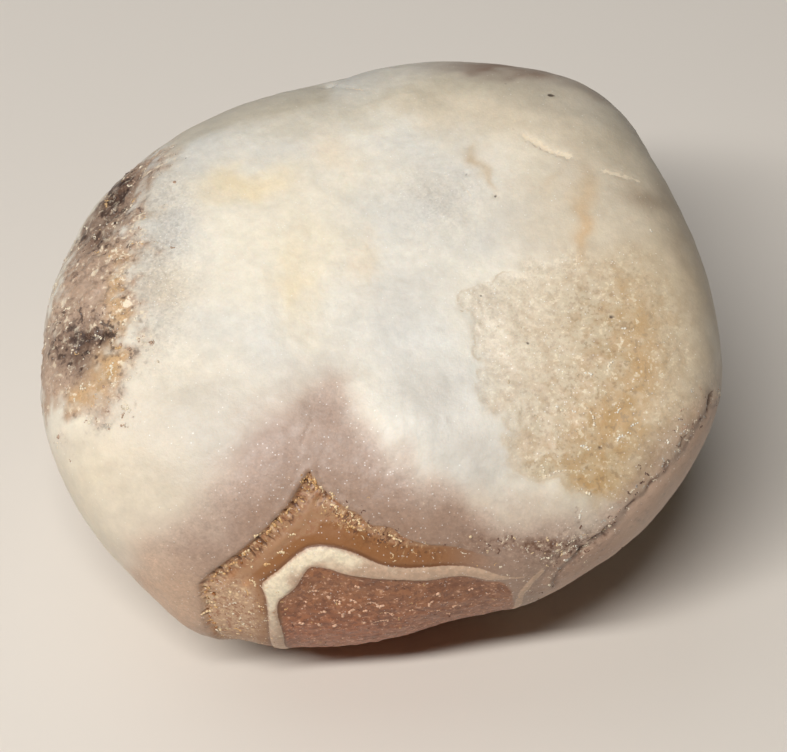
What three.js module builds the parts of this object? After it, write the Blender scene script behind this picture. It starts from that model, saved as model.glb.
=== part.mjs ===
// A water-worn cobble of rough jasper in a rind of pale chalcedony, as one solid.
// Millimetres, +Z up. The stone lies on its worn bed at z = 0, with the origin at the centre of
// its bounding box's bottom. +X is right, +Y is back. Its show side, where the rind has broken
// away from the quartz ledge, the cream vein and the red core, faces forward and up.
import * as THREE from "three";
import { ImprovedNoise } from "three/addons/math/ImprovedNoise.js";
import { mergeVertices } from "three/addons/utils/BufferGeometryUtils.js";

// Driving dimensions: the stone's length, depth and height.
const LENGTH = 72;
const DEPTH = 67.8;
const HEIGHT = 47;

// The broad faces that wear has left: for each, the azimuth from +X towards +Y and the
// elevation, in degrees, and the distance from the stone's middle, in mm. They meet in soft
// edges: the higher WEAR is, the sharper the edges are.
const WEAR = 6;
const FACES = [
  { name: "top", azimuth: 240, elevation: 80, distance: 23.5 },
  { name: "show side", azimuth: 270, elevation: 50, distance: 30 },
  { name: "front", azimuth: 265, elevation: 5, distance: 38 },
  { name: "back", azimuth: 90, elevation: 0, distance: 38 },
  { name: "back underside", azimuth: 90, elevation: -45, distance: 34 },
  { name: "right end", azimuth: 0, elevation: 0, distance: 40.5 },
  { name: "right shoulder", azimuth: 24, elevation: 19, distance: 37.8 },
  { name: "back right shoulder", azimuth: 42, elevation: 30, distance: 45 },
  { name: "back crown", azimuth: 71, elevation: 38, distance: 40 },
  { name: "back left crown", azimuth: 103, elevation: 39, distance: 33.2 },
  { name: "left shoulder", azimuth: 138, elevation: 30, distance: 37.8 },
  { name: "left flank", azimuth: 160, elevation: 16, distance: 45.5 },
  { name: "left end", azimuth: 180, elevation: 0, distance: 44 },
  { name: "left underside", azimuth: 200, elevation: -16, distance: 40.8 },
  { name: "front left underside", azimuth: 222, elevation: -30, distance: 44.5 },
  { name: "front toe", azimuth: 246, elevation: -36, distance: 47 },
  { name: "front underside", azimuth: 289, elevation: -38, distance: 33.1 },
  { name: "front right underside", azimuth: 318, elevation: -30, distance: 36 },
  { name: "right underside", azimuth: 340, elevation: -16, distance: 40.4 },
  { name: "back right side", azimuth: 50, elevation: -14, distance: 36 },
  { name: "back left side", azimuth: 131, elevation: -10, distance: 36.5 },
  { name: "back right underside", azimuth: 40, elevation: -48, distance: 31 },
  { name: "back left underside", azimuth: 140, elevation: -48, distance: 32 },
  { name: "bed", azimuth: 0, elevation: -90, distance: 23.5 },
  { name: "bed's right rise", azimuth: 0, elevation: -62, distance: 29 },
  { name: "bed's back rise", azimuth: 95, elevation: -65, distance: 30 },
  { name: "bed's left rise", azimuth: 175, elevation: -52, distance: 34 },
];

// Swells and hollows on those faces: azimuth, elevation and half width in degrees, height in mm.
const SWELLS = [
  [40, 35, 15, 1.7],
  [75, 30, 12, 0.6],
  [68, 4, 15, -0.8],
  [118, -8, 14, -0.6],
  [95, -32, 12, 0.8],
  [160, -35, 13, 0.7],
  [15, -35, 12, 0.8],
  [345, 28, 12, 0.5],
  [215, 40, 14, 0.5],
  [168, 15, 10, 0.8],
  [238, -13, 9, 0.8],
  [209, 9, 9, 0.4],
  [31, 31, 8, 0.6],
  [349, 25, 11, -0.7],
  [103, 39, 8, -0.6],
];
// Pits in the back and underside, in the same terms.
const FAR_PITS = [
  [84, 10, 4, -0.8],
  [101, 4, 3, -0.6],
  [133, 12, 4, -0.7],
  [28, -8, 4, -0.8],
  [37, -14, 3, -0.6],
  [170, -22, 4, -0.8],
  [300, -62, 5, -0.8],
  [245, -58, 4, -0.6],
  [60, -50, 4, -0.7],
];
// Height of the gentle unevenness that is left all over, and the sizes of its lumps.
const UNEVENNESS = 0.55;
const BROAD_LUMPS = 13;
const SMALL_LUMPS = 5;
const BROAD_SHARE = 0.7;

// Height of the stone's middle over its bed, which is worn flat.
const MIDDLE = 21.5;

// The show side's marks are laid out as they look to an eye straight in front of it: s to the
// right and t up from the stone's middle, in mm.
const SHOW_ELEVATION = 50;
const EYE_DISTANCE = 300;
// The marks fade in over this much nearness to the eye, from the rim that it sees.
const FADE_IN = 9;
// A mark's step begins and ends this far inside its outline, in mm; below 0 is outside.
const LEDGE_STEP = [-0.6, 0.4];
const VEIN_STEP = [-0.6, 0.3];
const CORE_STEP = [-0.2, 0.8];
const PATCH_STEP = [-0.5, 1.5];
// Sizes of the crumbs and lumps that roughen the marks.
const CRUMBS = 2.2;
const LUMPS = 4.5;

// Where the rind has broken away. The edge from the left, over the peak, to the right is the
// quartz ledge; the other edges are out of sight below.
const OPENED = [
  [-18.0, -38.0], [-18.3, -30.7], [-19.4, -27.5], [-20.0, -25.2], [-15.2, -20.9], [-12.9, -19.3],
  [-11.1, -17.3], [-8.4, -13.9], [-7.7, -12.4], [-6.7, -13.8], [-3.7, -16.7], [0.1, -18.8],
  [5.1, -21.4], [11.7, -22.2], [17.0, -24.0], [22.0, -38.0],
];
const LEDGE_HEIGHT = 1.1;
// Where the ledge dies out towards the right, in s.
const LEDGE_END = [8, 18];
// The hollow's floor climbs this share of the ledge's height, over this span inside the edge.
const CLIMB = 0.5;
const CLIMB_SPAN = [1, 7];
// The rind's lip: its height, its place outside the edge and its half width.
const LIP_HEIGHT = 0.3;
const LIP_PLACE = 1.1;
const LIP_WIDTH = 0.9;

// The cream vein, which stands a little proud of the core below it.
const VEIN = [
  [-12.3, -31.4], [-12.6, -29.2], [-12.9, -26.1], [-13.3, -25.3], [-11.2, -23.7], [-9.8, -22.3],
  [-7.8, -21.1], [-5.6, -21.0], [-3.0, -21.8], [0.1, -23.1], [4.5, -23.4], [9.5, -23.2],
  [13.0, -24.3], [16.6, -24.5], [13.9, -25.1], [9.8, -24.4], [7.8, -24.2], [2.3, -25.0],
  [-2.1, -24.8], [-4.3, -24.3], [-6.7, -23.2], [-7.6, -23.2], [-8.7, -24.8], [-10.3, -26.6],
  [-11.4, -27.3], [-10.9, -29.7], [-10.5, -31.4],
];
const VEIN_HEIGHT = 0.4;

// The red core, from the vein down out of sight.
const CORE = [
  [-10.5, -38.0], [-10.5, -31.4], [-11.4, -27.3], [-8.7, -24.8], [-7.1, -23.0], [-4.3, -24.3],
  [2.3, -25.0], [7.8, -24.2], [13.9, -25.1], [15.0, -28.0], [17.0, -38.0],
];
const CORE_DEPTH = 0.4;

// The rough tan patch on the right, and the pitted crust on the left end.
const TAN_PATCH = [
  [9.1, 6.1], [9.6, 1.8], [11.1, -2.8], [13.3, -7.2], [15.5, -12.7], [18.8, -13.5], [23.2, -16.5],
  [28.7, -13.8], [33.1, -8.3], [34.2, -2.8], [34.2, 6.1], [28.7, 10.2], [19.9, 11.0], [13.3, 9.9],
];
const CRUST = [
  [-25.2, 22.6], [-22.8, 21.0], [-25.2, 17.1], [-26.8, 10.5], [-28.0, 4.0], [-29.6, -2.8],
  [-33.4, -5.0], [-42.0, -1.7], [-42.0, 12.0], [-34.0, 24.0],
];
const PATCH_DEPTH = 0.3;

// The worn bevel along the lower right; its upper edge is a rough ridge.
const BEVEL = [
  [37.1, -5.0], [34.2, -8.3], [31.8, -12.7], [28.7, -16.0], [24.9, -19.5], [21.6, -20.9],
  [17.7, -22.6], [14.4, -23.7], [16.0, -38.0], [44.0, -38.0], [44.0, -5.0],
];
const RIDGE_HEIGHT = 0.5;
const RIDGE_WIDTH = 1.2;

// Pits and nicks on the show side: s, t, radius and depth in mm.
const PITS = [
  [-28.8, 17.1, 1.7, 1.0],
  [-31.2, 12.7, 1.7, 1.0],
  [-33.4, 13.2, 1.5, 0.7],
  [-33.4, 7.2, 1.3, 0.6],
  [-32.7, 1.1, 2.2, 0.9],
  [-30.0, 4.0, 1.2, 0.5],
  [-5.4, 29.8, 1.8, 0.9],
  [32.9, -10.7, 1.1, 0.6],
  [28.7, -16.2, 1.3, 0.7],
  [24.9, -19.9, 1.2, 0.7],
  [22.1, -21.8, 1.0, 0.6],
  [18.3, -23.2, 1.1, 0.6],
  [9.8, 17.3, 1.5, 0.5],
  [13.0, 15.6, 1.3, 0.4],
  [-18.5, -28.0, 1.4, 0.5],
];

// How finely the surface is divided, and how much finer round the ledge than on the far side.
const DIVISIONS = 20;
const SQUEEZE = 0.5;
const FINEST = [265, 10];
// Vertices closer than this are one vertex, and this close to the bed a vertex is on it.
const TINY = 1e-5;

const { degToRad, smoothstep, clamp } = THREE.MathUtils;
const noise = new ImprovedNoise();

function direction(azimuth, elevation) {
  const flat = Math.cos(degToRad(elevation));
  const turn = degToRad(azimuth);
  return new THREE.Vector3(flat * Math.cos(turn), flat * Math.sin(turn), Math.sin(degToRad(elevation)));
}

// Distance from the middle to the worn faces along a unit direction.
const faces = FACES.map((f) => ({ normal: direction(f.azimuth, f.elevation), distance: f.distance }));
function reach(along) {
  let sum = 0;
  for (const { normal, distance } of faces) {
    sum += Math.pow(Math.max(0, normal.dot(along)) / distance, WEAR);
  }
  return Math.pow(sum, -1 / WEAR);
}

// A smooth hump, 1 at 0 and falling off over the half width.
function hump(value, width) {
  return Math.exp(-((value / width) ** 2));
}

// Height of the swells and pits along a unit direction.
const bumps = [...SWELLS, ...FAR_PITS].map(([azimuth, elevation, width, height]) => {
  return { centre: direction(azimuth, elevation), width: degToRad(width), height };
});
function swell(along) {
  let height = 0;
  for (const { centre, width, height: peak } of bumps) {
    height += peak * hump(along.angleTo(centre), width);
  }
  return height;
}

// Unevenness at a point, between about -1 and 1, with lumps about "size" mm across.
function rough(point, size) {
  return 1.6 * noise.noise(point.x / size + 7.3, point.y / size + 3.1, point.z / size + 5.7);
}

// Distance from (s, t) to the edge of a closed outline: positive inside, negative outside.
function depthInside(s, t, outline) {
  let nearest = Infinity;
  let inside = false;
  outline.forEach(([s1, t1], i) => {
    const [s0, t0] = outline.at(i - 1);
    const ds = s1 - s0;
    const dt = t1 - t0;
    const share = clamp(((s - s0) * ds + (t - t0) * dt) / (ds * ds + dt * dt), 0, 1);
    nearest = Math.min(nearest, Math.hypot(s - s0 - share * ds, t - t0 - share * dt));
    if (t0 > t !== t1 > t && s < s0 + ((t - t0) * ds) / dt) inside = !inside;
  });
  return inside ? nearest : -nearest;
}

// Relief of the show side at (s, t), for a point of the stone.
function showRelief(s, t, point) {
  const opened = depthInside(s, t, OPENED);
  const crumbs = rough(point, CRUMBS);
  const lumps = rough(point, LUMPS);
  const fading = 1 - smoothstep(s, ...LEDGE_END);
  const climb = 1 - CLIMB * smoothstep(opened, ...CLIMB_SPAN);
  let height = -LEDGE_HEIGHT * fading * smoothstep(opened, ...LEDGE_STEP) * climb;
  height += LIP_HEIGHT * fading * hump(opened + LIP_PLACE, LIP_WIDTH) * (0.6 + crumbs);
  height += VEIN_HEIGHT * smoothstep(depthInside(s, t, VEIN), ...VEIN_STEP);
  height -= CORE_DEPTH * smoothstep(depthInside(s, t, CORE), ...CORE_STEP) * (1 + 0.5 * crumbs);
  const patch = Math.max(depthInside(s, t, TAN_PATCH), depthInside(s, t, CRUST));
  height -= PATCH_DEPTH * smoothstep(patch, ...PATCH_STEP) * (1 + 1.5 * lumps);
  height += RIDGE_HEIGHT * hump(depthInside(s, t, BEVEL), RIDGE_WIDTH) * (0.5 + crumbs);
  for (const [pitS, pitT, radius, depth] of PITS) {
    height -= depth * hump(Math.hypot(s - pitS, t - pitT), radius);
  }
  return height;
}

// Draws directions together round a pole, which keeps the triangles' shapes.
function squeeze(along, pole) {
  const aside = along.clone().addScaledVector(pole, -along.dot(pole));
  if (aside.length() < TINY) return along.clone();
  const drawn = 2 * Math.atan(SQUEEZE * Math.tan(along.angleTo(pole) / 2));
  const squeezed = pole.clone().multiplyScalar(Math.cos(drawn));
  return squeezed.addScaledVector(aside.normalize(), Math.sin(drawn));
}

const toEye = direction(270, SHOW_ELEVATION);
const upward = direction(90, 90 - SHOW_ELEVATION);
const middle = new THREE.Vector3(0, 0, MIDDLE);

// Height of all the relief at a point of the worn shape, measured from the stone's middle.
function relief(worn) {
  const nearness = worn.dot(toEye);
  const nearer = EYE_DISTANCE / (EYE_DISTANCE - nearness);
  const shown = showRelief(worn.x * nearer, worn.dot(upward) * nearer, worn);
  const broad = BROAD_SHARE * rough(worn, BROAD_LUMPS);
  const small = (1 - BROAD_SHARE) * rough(worn, SMALL_LUMPS);
  return UNEVENNESS * (broad + small) + smoothstep(nearness, 0, FADE_IN) * shown;
}

// Replaces each vertex, measured from the stone's middle, and keeps it on or above the bed.
function reshape(geometry, replacement) {
  const position = geometry.getAttribute("position");
  const vertex = new THREE.Vector3();
  for (let i = 0; i < position.count; i++) {
    const point = replacement(vertex.fromBufferAttribute(position, i).sub(middle));
    if (point.z < -MIDDLE) point.multiplyScalar(-MIDDLE / point.z);
    position.setXYZ(i, point.x, point.y, Math.max(0, point.z + MIDDLE));
  }
}

// Centres the shape and brings it to the driving dimensions.
function fit(geometry) {
  geometry.computeBoundingBox();
  const size = geometry.boundingBox.getSize(new THREE.Vector3());
  const centre = geometry.boundingBox.getCenter(new THREE.Vector3());
  geometry.translate(-centre.x, -centre.y, 0);
  geometry.scale(LENGTH / size.x, DEPTH / size.y, HEIGHT / size.z);
}

function stoneGeometry() {
  const sphere = new THREE.IcosahedronGeometry(1, DIVISIONS);
  sphere.deleteAttribute("normal");
  sphere.deleteAttribute("uv");
  const geometry = mergeVertices(sphere, TINY).translate(0, 0, MIDDLE);
  const pole = direction(...FINEST);
  reshape(geometry, (vertex) => {
    const along = squeeze(vertex.normalize(), pole);
    return along.multiplyScalar(reach(along) + swell(along));
  });
  fit(geometry);
  reshape(geometry, (worn) => {
    const onBed = worn.z < TINY - MIDDLE;
    return onBed ? worn : worn.setLength(worn.length() + relief(worn));
  });
  fit(geometry);
  return geometry;
}

const stone = new THREE.Mesh(
  stoneGeometry(),
  new THREE.MeshStandardMaterial({ color: 0xd8cbb8, roughness: 0.45, metalness: 0 }),
);
stone.name = "stone";

const part = new THREE.Group();
part.add(stone);
export default part;
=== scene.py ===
"""Looks of a water-worn cobble of rough jasper in a rind of pale chalcedony.

Lengths are in millimetres until a mesh is made, and in metres from then on. The stone's surface is
worked out as a distance from its middle along each of many directions.
"""
import math

import bmesh
import bpy
import numpy as np
from mathutils import Matrix, Vector, noise
from mathutils.bvhtree import BVHTree


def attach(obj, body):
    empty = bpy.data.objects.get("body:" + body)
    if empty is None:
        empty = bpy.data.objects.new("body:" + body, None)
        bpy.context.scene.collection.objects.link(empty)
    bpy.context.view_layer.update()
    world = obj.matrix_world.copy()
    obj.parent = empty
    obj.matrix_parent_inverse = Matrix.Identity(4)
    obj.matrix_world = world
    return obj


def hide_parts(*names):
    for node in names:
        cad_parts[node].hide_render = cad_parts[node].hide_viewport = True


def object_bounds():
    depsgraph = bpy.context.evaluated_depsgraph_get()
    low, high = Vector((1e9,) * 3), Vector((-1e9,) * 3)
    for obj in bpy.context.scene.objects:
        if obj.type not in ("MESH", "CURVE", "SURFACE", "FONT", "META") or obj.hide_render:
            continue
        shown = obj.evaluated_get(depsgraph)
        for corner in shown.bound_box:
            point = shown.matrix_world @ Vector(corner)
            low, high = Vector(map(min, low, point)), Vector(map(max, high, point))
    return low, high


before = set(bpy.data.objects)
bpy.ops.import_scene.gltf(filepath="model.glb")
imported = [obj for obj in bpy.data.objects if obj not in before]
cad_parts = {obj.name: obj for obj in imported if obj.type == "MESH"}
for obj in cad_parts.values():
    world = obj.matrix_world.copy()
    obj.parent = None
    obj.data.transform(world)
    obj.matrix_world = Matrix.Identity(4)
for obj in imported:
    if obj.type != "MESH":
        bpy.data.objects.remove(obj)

CAD_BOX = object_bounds()
METRES = 0.001

# The eye: how it looks at the stone's middle, and the photo's pixels.
MIDDLE = np.array([0.0, 0.0, 21.5])
EYE_ELEVATION = math.radians(50)
EYE_DISTANCE = 300.0
PHOTO_WIDTH, PHOTO_HEIGHT = 787, 752
MIDDLE_PIXEL = (379.0, 355.0)
PIXEL = 0.11

RIGHT = np.array([1.0, 0.0, 0.0])
UP = np.array([0.0, math.sin(EYE_ELEVATION), math.cos(EYE_ELEVATION)])
TO_EYE = np.array([0.0, -math.cos(EYE_ELEVATION), math.sin(EYE_ELEVATION)])
EYE = MIDDLE + EYE_DISTANCE * TO_EYE

# Distances over the surface are measured on a sphere of about the stone's size.
SPHERE = 33.0


def unit(vectors):
    return vectors / np.linalg.norm(vectors, axis=-1, keepdims=True)


def smooth(values, low, high):
    """0 below low, 1 above high and smooth between them."""
    share = np.clip((values - low) / (high - low), 0, 1)
    return share * share * (3 - 2 * share)


def hump(values, centre, width):
    """1 at the centre, fading over the width to both sides of it."""
    return np.exp(-(((values - centre) / width) ** 2))


def linear(red, green, blue):
    """A screen colour, 0 to 255, as linear light."""
    value = np.array([red, green, blue]) / 255
    return np.where(value <= 0.04045, value / 12.92, ((value + 0.055) / 1.055) ** 2.4)


# ---- Places on the stone ----

cad_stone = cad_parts["stone"]
cad_points = [vertex.co / METRES for vertex in cad_stone.data.vertices]
cad_tree = BVHTree.FromPolygons(cad_points, [face.vertices for face in cad_stone.data.polygons])


def cad_reach(direction):
    """Distance from the middle to the CAD stone's surface along a direction."""
    return cad_tree.ray_cast(Vector(MIDDLE), Vector(direction))[3]


def place(pixel):
    """Direction from the middle to the place seen at a photo pixel. A pixel outside the outline
    stands for a place round the back, as far beyond the rim as the pixel is outside it."""
    across = (pixel[0] - MIDDLE_PIXEL[0]) * PIXEL
    upward = (MIDDLE_PIXEL[1] - pixel[1]) * PIXEL
    ray = unit(MIDDLE + across * RIGHT + upward * UP - EYE)
    hit = cad_tree.ray_cast(Vector(EYE), Vector(ray))[0]
    if hit is not None:
        return unit(np.array(hit) - MIDDLE)
    nearest = EYE + ray * ((MIDDLE - EYE) @ ray) - MIDDLE
    outward = unit(nearest)
    rim = cad_reach(outward)
    turn = (np.linalg.norm(nearest) - rim) / rim
    return math.cos(turn) * outward + math.sin(turn) * ray


def spread(directions):
    """Directions as points of a flat map, where the distance from its centre is the angle from
    the eye's direction."""
    angle = np.arccos(np.clip(directions @ TO_EYE, -1, 1))
    flat = np.stack([directions @ RIGHT, directions @ UP], axis=-1)
    size = np.linalg.norm(flat, axis=-1)
    return flat * (angle / np.maximum(size, 1e-9))[..., None]


def gathered(flat):
    """The directions of points of that flat map."""
    angle = np.linalg.norm(flat, axis=-1, keepdims=True)
    aside = flat / np.maximum(angle, 1e-9)
    return np.cos(angle) * TO_EYE + np.sin(angle) * (aside[..., :1] * RIGHT + aside[..., 1:] * UP)


def seen_at(points):
    """Photo pixels at which points are seen."""
    offset = points - MIDDLE
    nearer = EYE_DISTANCE / (EYE_DISTANCE - offset @ TO_EYE) / PIXEL
    return MIDDLE_PIXEL[0] + offset @ RIGHT * nearer, MIDDLE_PIXEL[1] - offset @ UP * nearer


# The share of each leg that is cut off at a corner, and about how long in mm the short legs are
# in which a line is followed.
CUT = 0.25
LEG = 2.0


def rounded(corners, closed):
    """Corners with each one cut off, so that the line through them bends more softly."""
    ahead = np.roll(corners, -1, axis=0) if closed else corners[1:]
    here = corners if closed else corners[:-1]
    ends = [(1 - share) * here + share * ahead for share in (CUT, 1 - CUT)]
    cut = np.stack(ends, axis=1).reshape(-1, 2)
    return cut if closed else np.vstack([corners[:1], cut, corners[-1:]])


class Line:
    """A line drawn on the stone through photo pixels. A closed one is an outline."""

    def __init__(self, pixels, closed=False):
        corners = spread(np.array([place(pixel) for pixel in pixels]))
        corners = rounded(rounded(corners, closed), closed)
        if closed:
            corners = np.vstack([corners, corners[:1]])
        legs = []
        for start, end in zip(corners[:-1], corners[1:]):
            count = max(1, math.ceil(np.linalg.norm(end - start) * SPHERE / LEG))
            legs.append(start + (end - start) * np.arange(count)[:, None] / count)
        self.flat = np.vstack([*legs, corners[-1:]])
        self.points = gathered(self.flat) * SPHERE

    def distance(self, directions):
        """How far each direction is from the line, and how far along the line its nearest
        point is."""
        here = directions * SPHERE
        nearest = np.full(len(here), np.inf)
        along = np.zeros(len(here))
        passed = 0.0
        for start, end in zip(self.points[:-1], self.points[1:]):
            leg = end - start
            length = np.linalg.norm(leg)
            share = np.clip((here - start) @ leg / length**2, 0, 1)
            distance = np.linalg.norm(here - start - share[:, None] * leg, axis=1)
            closer = distance < nearest
            nearest[closer] = distance[closer]
            along[closer] = passed + share[closer] * length
            passed += length
        return nearest, along

    def depth(self, directions):
        """How far inside the outline each direction is. Outside it, this is negative."""
        x, y = spread(directions).T
        inside = np.zeros(len(directions), bool)
        for (x0, y0), (x1, y1) in zip(self.flat[:-1], self.flat[1:]):
            if y0 != y1:
                inside ^= ((y0 > y) != (y1 > y)) & (x < x0 + (y - y0) * (x1 - x0) / (y1 - y0))
        nearest = self.distance(directions)[0]
        return np.where(inside, nearest, -nearest)


# ---- Marks, in photo pixels ----

# Upper edge of the quartz ledge, from low on the left, over its peak, to the right.
LEDGE_EDGE = [
    (213, 634), (205, 627), (203, 613), (203, 597), (197, 583), (207, 573), (222, 561), (231, 556),
    (250, 540), (271, 520), (288, 504), (296, 490), (303, 480), (309, 467), (313, 478), (327, 492),
    (347, 510), (357, 513), (368, 524), (390, 528), (400, 536), (420, 546), (440, 547), (460, 549),
    (480, 556),
]
LEDGE_PEAK = (309, 468)
# The opened hollow below that edge goes on round the front's underside.
OPENED = LEDGE_EDGE + [
    (510, 560), (532, 566), (545, 585), (535, 625), (480, 690), (400, 715), (300, 715), (235, 690),
]
VEIN = [
    (258, 585), (265, 577), (277, 569), (290, 557), (300, 550), (308, 546), (328, 545), (340, 548),
    (352, 552), (364, 557), (380, 565), (400, 568), (420, 568), (440, 567), (465, 566), (482, 568),
    (497, 576), (515, 579), (532, 576), (532, 579), (505, 583), (485, 581), (468, 577), (450, 575),
    (430, 580), (400, 582), (360, 580), (340, 576), (328, 571), (318, 567), (310, 567), (305, 571),
    (300, 580), (293, 590), (285, 597), (275, 604), (280, 625), (284, 640), (284, 672), (268, 674),
    (267, 640), (265, 620), (262, 595),
]
SIDE_VEIN = [(540, 572), (528, 586), (517, 602), (511, 620)]
CORE = [
    (284, 675), (284, 640), (280, 625), (275, 603), (285, 597), (293, 590), (300, 580), (305, 570),
    (318, 566), (328, 571), (340, 576), (360, 580), (400, 582), (430, 580), (450, 575), (468, 577),
    (485, 581), (505, 584), (514, 600), (515, 625), (470, 680), (400, 700), (320, 702),
]
MAUVE_STONE = [
    (321, 376), (296, 404), (262, 440), (224, 484), (186, 516), (148, 540), (126, 566), (150, 610),
    (190, 660), (240, 730), (400, 745), (560, 690), (680, 610), (650, 545), (600, 516), (540, 514),
    (470, 502), (430, 484), (400, 456), (374, 424), (346, 396),
]
TAN_PATCH = [
    (466, 290), (460, 303), (466, 318), (462, 334), (470, 352), (482, 362), (478, 384), (480, 408),
    (492, 420), (504, 418), (503, 438), (512, 458), (522, 478), (538, 486), (552, 480), (566, 494),
    (586, 508), (622, 500), (655, 472), (680, 432), (692, 390), (688, 330), (672, 290), (640, 262),
    (600, 250), (556, 252), (530, 258), (512, 272), (488, 276),
]
CRUST = [
    (150, 144), (162, 158), (144, 184), (137, 206), (129, 232), (131, 262), (129, 300), (127, 335),
    (119, 368), (102, 394), (78, 414), (42, 408), (10, 385), (10, 345), (46, 326), (57, 300),
    (64, 262), (80, 234), (92, 206), (104, 174), (120, 148), (136, 134),
]
OLIVE_FILM = [
    (165, 158), (199, 139), (238, 125), (290, 112), (338, 101), (333, 80), (290, 60), (220, 80),
    (160, 120),
]
# The bevel's first points run down its upper edge, a broken ridge.
RIDGE_POINTS = 12
BEVEL = [
    (716, 398), (699, 426), (682, 450), (672, 466), (651, 489), (632, 507), (618, 522), (604, 533),
    (590, 542), (578, 552), (564, 566), (550, 580), (542, 610), (600, 640), (690, 580), (760, 470),
    (755, 400),
]
# Fine cracks, each with its width and depth in mm, and whether it is filled with pale quartz.
CRACKS = [
    ([(512, 118), (515, 134), (514, 149)], 0.10, 0.05, False),
    ([(525, 136), (540, 144), (551, 151), (571, 157)], 0.22, 0.25, True),
    ([(571, 157), (580, 161), (590, 166)], 0.16, 0.08, True),
    ([(603, 172), (616, 176), (626, 177), (641, 183)], 0.18, 0.22, True),
    ([(526, 141), (541, 149), (571, 162)], 0.12, 0.12, False),
    ([(504, 117), (512, 118), (519, 122)], 0.14, 0.08, True),
    ([(425, 170), (445, 175), (462, 184), (473, 198), (477, 212)], 0.10, 0.07, True),
    ([(568, 249), (575, 256), (579, 268)], 0.14, 0.10, True),
    ([(138, 177), (148, 170), (160, 163), (177, 157)], 0.24, 0.12, True),
    ([(331, 85), (345, 88), (370, 90)], 0.20, 0.12, True),
    ([(199, 139), (212, 133), (238, 125)], 0.12, 0.08, True),
    ([(302, 441), (306, 431), (312, 418)], 0.20, 0.10, False),
    ([(577, 509), (577, 517), (580, 525)], 0.14, 0.14, False),
    ([(716, 396), (713, 406)], 0.34, 0.28, False),
    ([(713, 410), (711, 421)], 0.22, 0.18, False),
    ([(689, 439), (683, 449)], 0.20, 0.20, False), ([(671, 464), (668, 470)], 0.22, 0.20, False),
    ([(656, 484), (650, 491)], 0.20, 0.18, False), ([(636, 502), (628, 511)], 0.22, 0.20, False),
    ([(608, 528), (602, 532), (606, 537)], 0.26, 0.22, False),
    ([(597, 536), (592, 540)], 0.26, 0.22, False), ([(583, 550), (576, 545)], 0.28, 0.24, False),
]
# Deeper hollows: photo pixel, radius and depth in mm.
HOLLOWS = [
    ((118, 196), 1.0, 0.55), ((124, 206), 0.7, 0.4), ((106, 216), 1.1, 0.5), ((92, 243), 1.0, 0.6),
    ((103, 250), 0.6, 0.4), ((82, 333), 1.2, 0.5), ((95, 337), 0.9, 0.5), ((66, 358), 1.1, 0.5),
    ((74, 369), 0.8, 0.4), ((74, 240), 0.8, 0.4), ((330, 82), 0.8, 0.5), ((714, 400), 0.6, 0.35),
    ((468, 174), 0.3, 0.2), ((497, 197), 0.3, 0.2), ((580, 552), 0.5, 0.4), ((605, 533), 0.5, 0.3),
    ((563, 556), 0.4, 0.3), ((208, 628), 0.6, 0.3), ((609, 346), 0.8, 0.16), ((582, 526), 0.4, 0.2),
]
# Pinholes: dark dots, each a pixel and a radius in mm.
PINHOLES = [
    ((552, 96), 0.26), ((556, 97), 0.20), ((507, 84), 0.16), ((528, 344), 0.17), ((612, 318), 0.19),
    ((601, 450), 0.16), ((468, 174), 0.18), ((497, 196), 0.18), ((452, 163), 0.13), ((482, 296), 0.13),
    ((499, 326), 0.13), ((580, 552), 0.28), ((92, 246), 0.34), ((103, 251), 0.24), ((117, 200), 0.28),
    ((124, 208), 0.24), ((97, 337), 0.24), ((65, 362), 0.24), ((75, 368), 0.22), ((714, 401), 0.22),
    ((187, 156), 0.14), ((630, 496), 0.13),
]
# Dents in the rind of the far sides: azimuth from the right-hand side, elevation and reach in
# degrees, and depth in mm.
FAR_DENTS = [
    (84, 10, 3.5, 0.5), (101, 4, 2.5, 0.4), (133, 12, 3.5, 0.5), (28, -8, 3.5, 0.5),
    (70, -14, 2.5, 0.3), (150, -30, 3.0, 0.4), (55, 30, 2.0, 0.25), (112, 28, 2.4, 0.3),
]


# ---- The skin: directions, and the worn surface under the fine relief ----

DIVISIONS = 99
# Where the skin is finer: the pixel in the middle of each such place, its reach in degrees and
# how strongly directions are drawn towards it.
FINER = [
    ((330, 330), 180, 0.40),
    ((330, 565), 34, 0.50),
    ((85, 290), 24, 0.42),
    ((610, 430), 28, 0.34),
]
# The CAD stone's facets are blurred over this width in mm, in many small rounds.
WORN_BLUR = 1.4
BLUR_ROUNDS = 240
STRONGEST_PULL = 0.9


def geodesic(divisions):
    """Unit vectors and triangles of a sphere, with each face of an icosahedron cut finely."""
    solid = bmesh.new()
    bmesh.ops.create_icosphere(solid, subdivisions=1, radius=1)
    corners = np.array([[vertex.co[:] for vertex in face.verts] for face in solid.faces])
    solid.free()
    steps = [(i, j) for i in range(divisions + 1) for j in range(divisions + 1 - i)]
    number = {step: index for index, step in enumerate(steps)}
    small = []
    for i, j in steps:
        if i + j < divisions:
            small.append((number[i, j], number[i + 1, j], number[i, j + 1]))
        if i + j < divisions - 1:
            small.append((number[i + 1, j], number[i + 1, j + 1], number[i, j + 1]))
    shares = np.array([(divisions - i - j, i, j) for i, j in steps]) / divisions
    points = np.einsum("sc,fcx->fsx", shares, corners).reshape(-1, 3)
    blocks = np.arange(len(corners))[:, None, None] * len(steps)
    # Adding zero makes each minus zero a plain one, so that shared corners are found equal.
    shared = points.round(6) + 0.0
    _, first, merged = np.unique(shared, axis=0, return_index=True, return_inverse=True)
    return unit(points[first]), merged.reshape(-1)[(blocks + np.array(small)).reshape(-1, 3)]


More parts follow.
